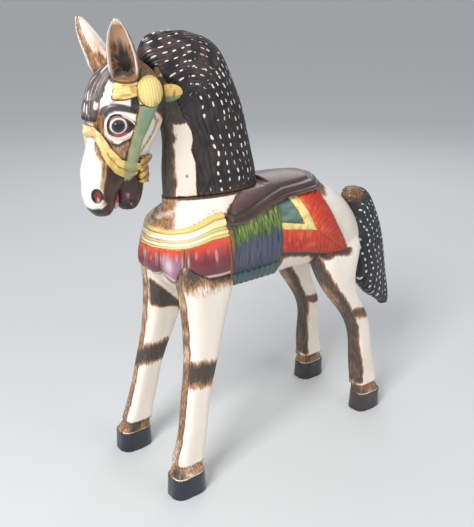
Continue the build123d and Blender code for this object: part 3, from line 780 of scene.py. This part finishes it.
def forelock():
    c = Carving.of(0.6, 3, "forelock")
    x, _, z = c.p.T
    wave = noise(c.p * (1, 1, 0.5), 10, 55) - 0.5
    lane = x + 2.2 * np.sin((z - 371) / 14) + 3 * wave
    strand = groove(lane, 3.8)
    c.push(0.3 - 1.1 * strand + 0.6 * step(z, 382, 371))
    shade = noise(c.p, 5, 56)
    c.coat("665856", "958a88", step(shade, 0.4, 0.75))
    # painted shade between the strands; the lower ends darker too
    c.tint("2c2226", np.minimum(strand * 0.8 + step(z, 372, 368.5) * 0.7, 1))
    c.rub_stain_and_shade(0.25 * step(shade, 0.5, 0.3))
    c.dab(lane / 3.8 + 0.5, z, 0.55 * step(z, 370, 374))
    c.place(HEAD, "forelock_paint", painted("forelock_paint", dabs=(11.0, 0.8, 0.2)))


# ---- head
EYE_MIDDLE = np.array([24.0, -169.0, 363.0])
EYE_OUT = np.array([0.93, -0.367, 0.0])
EYE_BACK = np.array([0.367, 0.93, 0.0])
EYE_OPENING = 8.8, 14.8, 8.8, 10.6  # from the middle to the front, the back, up and down
EYE_LIDS = 12.6, 17.6, 12.0, 12.6
IRIS_EDGE = 6.0
RAY_START = 30.0
EYE_RINGS, EYE_SPOKES = 64, 128
EAR_LINE = [(394.5, 13, -151.5, 5, 5.5), (397.5, 15.6, -154.4, 9, 9.8), (400, 17.3, -156.3, 11, 12.5),
            (408, 19.8, -158.6, 12.6, 14.5), (418, 22.6, -161.2, 12.4, 13.5), (428, 26, -164.8, 10.8, 11.5),
            (437, 29, -167.8, 8.2, 8.4), (444, 31, -169.6, 4.6, 4.8), (448, 32, -170.5, 1.6, 1.8)]
NOSTRIL = 12.5, -187, 304
NAIL = -96, 308
MUZZLE_CREASE = [(-178, 334), (-180, 320), (-183, 306), (-184, 296)]
CHEEK_LINE = [(-140, 372), (-131, 364), (-136, 352), (-144, 340), (-150, 332)]
BROW_RIDGE = [(-179, 362), (-177, 371), (-172, 378), (-163, 379), (-154, 375)]
LIPS = [(-177, 336), (-179.5, 322), (-183, 309), (-183, 301), (-180, 296), (-184, 291.5), (-192, 291),
        (-192, 270), (-130, 270), (-130, 320), (-158, 322), (-170, 327)]
BELOW_EYE = [(-177, 350), (-174, 342), (-168, 333), (-160, 331), (-156.5, 345), (-155, 356), (-160, 351),
             (-168, 347.5), (-174, 351)]
BRIDGE_LINE = [(-184, 352), (-181, 341), (-177, 333), (-180, 322)]
BEHIND_JAW = [(-146, 376), (-132, 384), (-132, 399), (-112, 404), (-84, 384), (-88, 358), (-104, 355),
              (-116, 356), (-128, 368), (-138, 372)]
TEMPLE = [(-152, 402), (-150, 416), (-120, 425), (-118, 400), (-128, 396)]
BELOW_ROSETTE = [(-156, 387), (-150, 387), (-148.5, 373), (-152, 371), (-158, 374.5)]
EYEBROW = [(-179.5, 362), (-178, 370), (-175, 375.5), (-170, 378), (-165, 377.5), (-160, 376.2), (-153, 374)]
EYE_SHADOW = [(-178.5, 369), (-180, 361), (-178.5, 353), (-174, 348)]
STRAP_END = [(-164, 340), (-165.5, 318), (-163, 308), (-153, 308), (-151, 330), (-150, 340)]
NOSE_BAND = [(-220, 359), (-184, 358), (-180.5, 348), (-176.5, 337.5), (-169, 328), (-158, 322.5),
             (-140, 320)]
CHEEK_STRAP = [(-150, 378), (-155, 359), (-159, 342), (-161, 328), (-163, 315), (-153, 315), (-150, 330),
               (-147, 350), (-140, 365), (-132, 378)]


def head_block(material):
    c = Carving.of(0.75, 5, "neck_and_head")
    ax, y, z = side_view(c)
    n = c.normals()
    out = n[:, 0] * np.sign(c.p[:, 0])
    wave = noise(c.p, 7, 61) - 0.5
    u = (ax - EYE_MIDDLE[0]) * EYE_BACK[0] + (y - EYE_MIDDLE[1]) * EYE_BACK[1]
    v = z - EYE_MIDDLE[2]
    face = step(y, -118, -124) * step(z, 410, 400)
    nostril = np.sqrt((ax - NOSTRIL[0]) ** 2 + (y - NOSTRIL[1]) ** 2 + ((z - NOSTRIL[2]) / 1.25) ** 2)
    crease = off_line(y, z, MUZZLE_CREASE)
    cheek = off_line(y, z, CHEEK_LINE)
    socket = bell(np.hypot(u / 15, (v - 0.5) / 12.5), 1.05, 0.22) * face * step(out, 0.2, 0.5)
    brow = bell(off_line(y, z, BROW_RIDGE), 0, 2.6) * face * step(out, 0.2, 0.6)
    height = (noise(c.p * (1, 1, 0.5), 10, 62) - 0.5) * 0.4
    height += -3.2 * bell(nostril, 0, 3.6) + 0.8 * bell(nostril, 6.2, 1.6)
    height += -0.7 * bell(crease, 0, 1.6) * step(out, 0.3, 0.6) + 1.1 * brow
    height += 0.5 * socket - 0.8 * bell(cheek, 0, 1.8) * step(y, -125, -133)
    c.push(height)

    c.coat(CREAM, IVORY, face * step(y, -150, -175) * 0.9)

    # muzzle, lips, jaw
    lips = inside(y, z, LIPS)
    lip = step(lips + 1.6 * wave, -0.7, 0.9) * step(ax, 2, 5) * face
    lip = np.maximum(lip, face * step(z, 293.5 + 3 * wave, 291 + 3 * wave))
    c.tint("3d262a", lip)
    c.tint("120c10", lip * step(noise(c.p * (1, 1, 0.5), 5, 63), 0.42, 0.6) * 0.92)
    # pink streaks on the jaw beside the mouth
    jaw_pink_streaks = 0.7 * bell(np.hypot(y + 156, (z - 300) * 0.5), 0, 1.5) + bell(np.hypot(y + 154, z - 290), 0, 2.6)
    c.tint("c98088", np.minimum(jaw_pink_streaks, 1) * step(z, 309, 304) * step(noise(c.p, 3, 64), 0.4, 0.6))
    chin = step(y, -141.5, -138.5) * step(y, -118, -128) * step(z, 338, 330)
    c.tint("c08a4e", chin * (0.85 + 0.5 * wave))
    c.rub_stain_and_shade(chin * 0.35)
    c.tint("1c0d0d", step(nostril, 5.8, 4.9))
    c.tint("8a2a28", step(nostril, 3.9, 2.6))
    verge = bell(lips, -1.2, 1.8) * face * step(z, 292, 297) * step(z, 336, 330) * step(nostril, 5.5, 6.5)
    c.tint("b07b4e", verge * 0.85)

    # under the eye, bridge of the nose, cheek
    wedge = inside(y, z, BELOW_EYE)
    c.rub_stain_and_shade(step(wedge + 3 * wave, -0.8, 2.2) * (0.56 + 0.4 * step(wedge, 3.6, 1.2)))
    bridge = bell(off_line(y, z, BRIDGE_LINE), 0, 4.6 + 3 * wave)
    c.rub_stain_and_shade(bridge * 0.6 * step(ax, 4, 9))
    c.rub_stain_and_shade(bell(z, 372, 7) * step(ax, 6, 14) * step(y, -174, -181) * 0.5)
    behind = inside(y, z, BEHIND_JAW)
    c.rub_stain_and_shade(step(behind + 4 * wave, -1.5, 4))
    c.rub_stain_and_shade(bell(cheek, 0, 3.2 + 3 * wave) * 0.5 * step(y, -122, -128))
    temple = inside(y, z, TEMPLE)
    c.rub_stain_and_shade(step(temple + 3 * wave, -2, 2) * 0.62)
    dark_corner = inside(y, z, BELOW_ROSETTE)
    c.tint("2a1d1c", step(dark_corner + 0.8 * wave, -0.4, 0.6) * step(out, 0, 0.4))

    # eyebrow and the fine line above it
    stroke, along = line_distance(y, z, EYEBROW)
    stroke = step(stroke, 4.4 - 2.6 * np.abs(along - 0.5), 2.6 - 1.6 * np.abs(along - 0.5))
    c.tint("261d21", stroke * face * step(out, 0, 0.3) * 0.95)
    shadow = off_line(y, z, EYE_SHADOW)
    c.rub_stain_and_shade(bell(shadow, 0, 3.8 + 2 * wave) * face * 0.7)
    fine = off_line(y, z, [(-172, 381.5), (-166, 383.5), (-159, 384.5)])
    c.tint("8b7f74", step(fine, 0.9, 0.4) * 0.8)

    # neck: dark strip down the front, seam at the foot
    neck = step(y, -125, -118)
    strip = step(y + 5 * wave, -103.5, -108.5) * neck * step(z, 382, 372)
    c.rub_stain_and_shade(strip * 0.84)
    c.rub_stain_and_shade(neck * step(z, 291 + 4 * wave, 288.6) * 0.8)
    mane_edge = off_line(y, z, MANE_EDGE)
    c.rub_stain_and_shade(neck * step(mane_edge, 2.2 + 2 * wave, 0.4) * 0.75)
    nail = np.hypot(y - NAIL[0], z - NAIL[1])
    c.tint("5f6468", step(nail, 1.3, 0.7))
    c.rub_stain_and_shade(bell(nail, 1.6, 0.7) * 0.4)

    # darker beside the straps, ears and forelock: painted shade where they meet the head, rubbed in as brown
    d, _ = near(c, ["ear_left", "ear_right"], 7)
    c.rub_stain_and_shade(step(d, 5.5 + 3 * wave, 1.0) * 0.95)
    d, _ = near(c, ["forelock"], 5)
    c.rub_stain_and_shade(step(d, 3.5 + 3 * wave, 0.8) * 0.7)
    straps = ["nose_band", "cheek_strap_left", "cheek_strap_right", "brow_band_left", "brow_band_right",
              "chin_strap"]
    d, _ = near(c, straps, 4, 1.0)
    c.rub_stain_and_shade(step(d, 1.9 + 2 * wave, 0.7) * 0.78)
    c.fields["stain_and_shade"] *= 1 - lip
    c.place(HEAD, "cream_paint", material)
    return c


def eyes(head):
    """Almond eyes with lids, laid on the head: rings around the iris, from the middle outwards."""
    ball = Carving.of(0.7, 2, "eye_left")
    trees = [BVHTree.FromPolygons(k.p.tolist(), k.f.tolist()) for k in (head, ball)]
    rings, spokes = EYE_RINGS, EYE_SPOKES
    angle = np.arange(spokes) / spokes * 2 * np.pi
    cu, sv = np.cos(angle), np.sin(angle)

    def reach(front, back, up, down):
        power = np.where(cu > 0, 1.5, 2.1)
        wide, high = np.where(cu > 0, back, front), np.where(sv > 0, up, down)
        return (np.abs(cu / wide) ** power + np.abs(sv / high) ** power) ** (-1 / power)

    inner, outer = reach(*EYE_OPENING), reach(*EYE_LIDS)
    points, where = [], []
    for r in range(rings + 1):
        k = 2.0 * r / rings
        radius = inner * min(k, 1) + (outer - inner) * max(k - 1, 0)
        for i in range(spokes):
            u = cu[i] * radius[i]
            v = sv[i] * radius[i] - 0.9 * max(u, 0) / EYE_OPENING[1]
            start = EYE_MIDDLE + EYE_BACK * u + np.array([0, 0, v]) + EYE_OUT * RAY_START
            best = RAY_START + 6
            for tree in trees:
                hit, _, _, far = tree.ray_cast(Vector(start), Vector(-EYE_OUT))
                if hit is not None:
                    best = min(best, far)
            points.append(start - EYE_OUT * best)
            where.append((u, v, k, angle[i]))
    p = np.array(points)
    u, v, k, angle = np.array(where).T
    tree = point_tree(head.p)
    nearest = [tree.find(q)[1] for q in p]
    around, around_stain_and_shade = head.fields["paint"][nearest], head.fields["stain_and_shade"][nearest]
    faces = ring_faces(rings, spokes)
    for side, sign in SIDES:
        c = Carving(p, faces)
        # even out the steps between ball and head before raising the lids
        level = (p - EYE_MIDDLE) @ EYE_OUT
        smooth = c.spread(level, (0.5,) * 60)
        bulge = 1.3 * (1 - k ** 2) * (k < 1) - 0.5 * bell(k, 1.04, 0.1) + 1.3 * bell(k, 1.45, 0.28)
        bulge -= 1.9 * step(k, 1.6, 2.0)
        c.p = p + np.outer(smooth - level + bulge, EYE_OUT)
        r = np.hypot(u / 1.1, v)
        c.coat("41211b", "b07a6c", step(v, 1.5, 5) * step(u, 8, 4) * step(u, -8, -4) * 0.8)
        c.tint("b93a30", step(v, -5.6, -6.4) * step(u, 10, 6.5) * step(u, -5.5, -3.5))
        c.tint("1a0f0f", step(u, 8.6, 10.0) * 0.9)
        c.tint("e6d6d0", step(np.abs(r - IRIS_EDGE), 0.85, 0.5))
        c.tint("34323c", step(r, 5.5, 5.0))
        c.tint("0c0b0f", step(np.hypot(u + 0.2, v - 0.4), 4.0, 3.2))
        # painted highlight on the iris
        c.tint("9aa2b0", step(np.hypot(u + 2.6, v - 2.2), 1.2, 0.6) * 0.7)
        c.tint("150c0c", step(k, 0.90, 0.96) * step(k, 1.24, 1.14))
        lids = step(k, 1.14, 1.24)
        c.tint(around, lids)
        turn = np.mod(angle, 2 * np.pi) * 180 / np.pi
        white = lids * step(turn, 58, 85) * step(turn, 238, 222) * step(k, 1.66, 1.54)
        c.tint("fdf8f3", white)
        shade = lids * step(turn, 92, 112) * step(turn, 236, 216) * step(k, 1.54, 1.72)
        c.tint("6d5450", shade * 0.8)
        corner = step(k, 1.9, 1.4) * lids * np.maximum(step(turn, 26, 12), step(turn, 336, 348))
        c.tint("2a1814", corner)
        c.rub_stain_and_shade(lids * (1 - white) * (1 - corner) * around_stain_and_shade)
        if sign < 0:
            c.p = c.p * (-1, 1, 1)
            c.f = c.f[:, ::-1]
        material = painted("eye_paint_" + side, rough=0.24, coat=0.35, grain=0.02)
        c.place(HEAD, "eye_paint", material, "eye_" + side)


EAR_TURN = 52.0  # degrees from the front to where the hollow looks
EAR_BOTTOM, EAR_TOP = 394.5, 447.5
EAR_LEVELS, EAR_SPOKES = 90, 144
EAR_RIM = 0.93  # where the hollow starts, of the half width
EAR_DEPTH = 0.55
EAR_PEG_FOOT = 390.0
EAR_PEG_SQUASH = 0.28


def ears():
    """Leaf-shaped ears with a scooped hollow."""
    table = np.array(EAR_LINE, float)
    turn = math.radians(EAR_TURN)
    facing = np.array([math.sin(turn), -math.cos(turn), 0.0])
    across = np.array([math.cos(turn), math.sin(turn), 0.0])
    levels, spokes = EAR_LEVELS, EAR_SPOKES
    z = np.repeat(np.linspace(EAR_BOTTOM, EAR_TOP, levels), spokes)
    angle = np.tile(np.arange(spokes) / spokes * 2 * np.pi, levels)
    cx, cy, wide, deep = (np.interp(z, table[:, 0], table[:, i]) for i in range(1, 5))
    a, b = np.sin(angle), np.cos(angle)
    open_up = step(z, 397.5, 404.5) * step(z, 446.5, 440)
    scoop = open_up * step(np.abs(a), EAR_RIM, 0.62) * (b > 0)
    hollow = -EAR_DEPTH * np.sqrt(np.clip(1 - (a / EAR_RIM) ** 2, 0, 1))
    b_cut = b * (1 - scoop) + scoop * hollow
    middle = np.stack([cx, cy, z], 1)
    p = middle + across * (a * wide)[:, None] + facing * (b_cut * deep)[:, None]
    faces = ring_faces(levels - 1, spokes)[:, [0, 3, 2, 1]]
    tip = (levels - 1) * spokes + np.arange(4)
    faces = np.concatenate([faces, [tip]])
    material = painted("ear_paint", streaks=(900, 900, 130))
    for side, sign in SIDES:
        c = Carving(p, faces)
        c.relax(3)
        wave = noise(c.p * (1.6, 1.6, 0.16), 3.2, 71) - 0.5
        c.coat(CREAM)
        inner = step(scoop, 0.35, 0.8)
        deepness = np.hypot(a / 0.5, (z - 413) / 10)
        ray = np.arctan2(z - 411, a * 12)
        rays = noise(np.stack([ray * 9, deepness * 0.6, 0 * z], 1), 1.0, 72)
        core = step(deepness + 0.9 * (rays - 0.5), 1.9, 0.7)
        c.tint("c4946c", inner * 0.85)
        c.tint("1a0e0c", inner * core)
        c.tint("5a3236", inner * step(z + 5 * wave, 406, 400) * 0.85)
        c.rub_stain_and_shade(inner * (1 - core) * step(rays, 0.36, 0.7) * step(deepness, 3.3, 1.0) * 0.8)
        outline = bell(np.abs(a), 0.99, 0.06) * (b > -0.3)
        c.rub_stain_and_shade(outline * 0.6)
        base = step(z + 4 * wave, 408, 401) * (1 - inner)
        c.tint("2c1c1c", base * 0.85)
        c.rub_stain_and_shade(base * 0.5)
        back = step(b, 0.0, -0.4)
        c.rub_stain_and_shade(back * bell(z, 413 + 14 * wave, 9) * 0.62)
        c.tint("c07a48", back * bell(z, 417, 12) * (0.5 + wave))
        c.rub_stain_and_shade(step(z, 442, 446) * 0.36)
        if sign < 0:
            c.p = c.p * (-1, 1, 1)
        else:
            c.f = c.f[:, ::-1]
        c.place(HEAD, "cream_paint", material, "ear_" + side)

        # the peg stops below the hollow
        c = Carving.of(0.5, 3, "ear_peg_" + side)
        c.p[:, 2] = EAR_PEG_FOOT + (c.p[:, 2] - EAR_PEG_FOOT) * EAR_PEG_SQUASH
        c.coat("c9a27a")
        c.rub_stain_and_shade(0.1)
        c.place(HEAD, "bare_wood", material, ending="_turned")


ROSETTE = -139.5, 389.5
BOSS = -115.5, 385.0


def bridle():
    material = painted("bridle_paint", rough=0.3, coat=0.35, tan=rgb("8f6a2c"), dark=rgb("4a3216"))

    c = Carving.of(0.55, 3, "nose_band")
    _, y, z = side_view(c)
    over = y < -180.5
    d = off_line(y, z, NOSE_BAND)
    signed = np.where(over, z - 359, d * np.where((y + 184) * 40 + (z - 358) * 47 > 0, 1, -1))
    line = bell(np.abs(signed), 0, 0.9)
    c.push(-0.8 * line * step(y, -186, -176) + 0.5 * bell(np.abs(signed), 2.8, 1.6))
    shade = noise(c.p, 5, 81)
    c.coat("efd27c", "f3e6bc", step(z, 335, 358) * 0.7)
    c.tint(OCHRE, step(shade, 0.5, 0.8) * 0.6)
    over_cheek = inside(y, z, STRAP_END)
    c.tint("8f9d78", step(over_cheek, -0.5, 0.8) * 0.8)
    c.rub_stain_and_shade(line * 0.4 * step(y, -186, -176) + 0.1)
    c.place(HEAD, "bridle_paint", material)

    c = Carving.of(0.55, 3, "chin_strap")
    _, y, z = side_view(c)
    lump = groove(z - 0.35 * y, 6.5)
    c.push(0.6 - 1.4 * lump)
    c.coat("dbb86a", "a8783c", step(noise(c.p, 4, 82), 0.4, 0.7) * 0.7)
    c.rub_stain_and_shade(lump * 0.6 + 0.15)
    c.place(HEAD, "bridle_paint", material)

    for side, _ in SIDES:
        c = Carving.of(0.5, 3, "brow_band_" + side)
        shade = noise(c.p * (1, 1, 2), 5, 83)
        _, y, z = side_view(c)
        edge = np.minimum(off_line(y, z, [(-170, 384.5), (-163, 384), (-148, 387)]),
                          off_line(y, z, [(-167, 397), (-157, 398.5), (-148, 400)]))
        c.push(0.5 * step(edge, 0.5, 3.5) - 0.6 * bell(edge, 5.5, 0.8))
        c.coat("ead88c", OCHRE, step(shade, 0.45, 0.75) * 0.8)
        c.rub_stain_and_shade(0.28 * step(edge, 1.4, 0.3) + 0.2 * bell(edge, 5.5, 1))
        c.place(HEAD, "bridle_paint", material)

        c = Carving.of(0.5, 3, "rosette_" + side)
        _, y, z = side_view(c)
        r = np.hypot((y - ROSETTE[0]) / 12.5, (z - ROSETTE[1]) / 13)
        grain = groove(y + 0.1 * (z - 389) + 1.5 * noise(c.p, 8, 84), 3.0)
        c.push(1.4 * (1 - r ** 2) * (r < 1) - 0.35 * grain)
        c.coat("f6dc90", "dcb566", step(r, 0.7, 1.0) * 0.7)
        c.tint("cfa557", grain * 0.45)
        c.tint("7f9a7e", step(-z - 0.55 * y, -307, -304) * step(y, -141, -136) * 0.8)
        c.rub_stain_and_shade(step(r, 0.9, 1.02) * 0.5)
        c.place(HEAD, "bridle_paint", material)

        c = Carving.of(0.5, 3, "strap_boss_" + side)
        _, y, z = side_view(c)
        r = np.hypot((y - BOSS[0]) / 11.5, (z - BOSS[1]) / 7.8)
        bowed = z - 0.012 * (y + 112) ** 2
        crescent = step(bowed, 382.5, 380.7)
        c.push(1.2 * (1 - r ** 2) * (r < 1) - 0.8 * bell(bowed, 381.6, 0.8))
        shade = noise(c.p, 3.2, 85)
        c.coat("e0bb66", "8a6230", step(shade, 0.5, 0.75) * 0.8)
        c.tint("6f8a68", crescent)
        c.rub_stain_and_shade(step(r, 0.88, 1.02) * 0.5)
        c.place(HEAD, "bridle_paint", material)

        c = Carving.of(0.5, 3, "cheek_strap_" + side)
        _, y, z = side_view(c)
        d = inside(y, z, CHEEK_STRAP)
        c.push(0.6 * step(d, 0, 3))
        shade = noise(c.p * (1, 1, 0.5), 6, 86)
        c.coat("7f9673", "a5ab80", step(shade, 0.4, 0.7) * 0.7)
        c.tint("789a8c", step(z, 366, 374) * 0.5)
        c.rub_stain_and_shade(0.42 * step(d, 1.3, 0.2))
        c.place(HEAD, "strap_paint", painted("strap_paint_" + side))


def tongue():
    c = Carving.of(0.5, 2, "tongue")
    shade = noise(c.p, 4, 91)
    c.push(0.8 * (shade - 0.5))
    c.coat("a8484c", "e8c4c0", step(shade, 0.5, 0.7))
    c.rub_stain_and_shade(0.2 * step(shade, 0.5, 0.3))
    c.place(HEAD, "tongue_paint", painted("tongue_paint", 0.2, 0.5))


# ---- stage
CAMERA_PLACE = 0.561, -0.4649, 0.470
CAMERA_AZIMUTH, CAMERA_PITCH = 52.0, 20.6  # degrees
CAMERA_LENS, CAMERA_SENSOR = 50.2, 36.0
FLOOR_HALF = 60.0
LIGHT_AIM = 0, 0, 0.22


def camera():
    azimuth = math.radians(CAMERA_AZIMUTH)
    pitch = math.radians(CAMERA_PITCH)
    level = math.cos(pitch)
    forward = Vector((-math.sin(azimuth) * level, math.cos(azimuth) * level, -math.sin(pitch)))
    data = bpy.data.cameras.new("camera")
    data.lens = CAMERA_LENS
    data.sensor_width = CAMERA_SENSOR
    eye = add_object("camera", data)
    eye.location = Vector(CAMERA_PLACE) + Vector(SHIFT / 1000)
    eye.rotation_euler = forward.to_track_quat("-Z", "Y").to_euler()
    bpy.context.scene.camera = eye


def area_light(name, place, size, power):
    data = bpy.data.lights.new(name, "AREA")
    data.energy = power
    data.size = size
    lamp = add_object(name, data)
    lamp.location = place
    lamp.rotation_euler = (Vector(LIGHT_AIM) - Vector(place)).to_track_quat("-Z", "Y").to_euler()


def stage():
    mesh = bpy.data.meshes.new("floor")
    s = FLOOR_HALF
    mesh.from_pydata([(-s, -s, 0), (s, -s, 0), (s, s, 0), (-s, s, 0)], [], [(0, 1, 2, 3)])
    floor = add_object("floor", mesh)
    n = Nodes("floor")
    n.link(n.ramp(n.noise((3, 3, 3)), 0.3, 0.7, 0.86, 0.9), n.shader.inputs["Roughness"])
    n.shader.inputs["Base Color"].default_value = (0.72, 0.73, 0.73, 1)
    mesh.materials.append(n.material)
    world = bpy.data.worlds.new("studio")
    world.use_nodes = True
    sky = world.node_tree.nodes["Background"]
    sky.inputs["Color"].default_value = (0.93, 0.96, 1.0, 1)
    sky.inputs["Strength"].default_value = 0.5
    bpy.context.scene.world = world
    area_light("key", (0.55, -1.25, 1.25), 0.6, 23)
    area_light("side", (1.5, 0.5, 0.9), 1.0, 4)
    area_light("back", (-0.9, 0.9, 1.1), 1.0, 4)
    bpy.context.scene.view_settings.view_transform = "Standard"


camera()
stage()
cream = painted("cream_brushed")
body_and_legs(cream)
hooves()
breast_band()
breast_fringe()
girth()
blanket()
saddle()
mane()
tail()
forelock()
head = head_block(cream)
eyes(head)
ears()
bridle()
tongue()
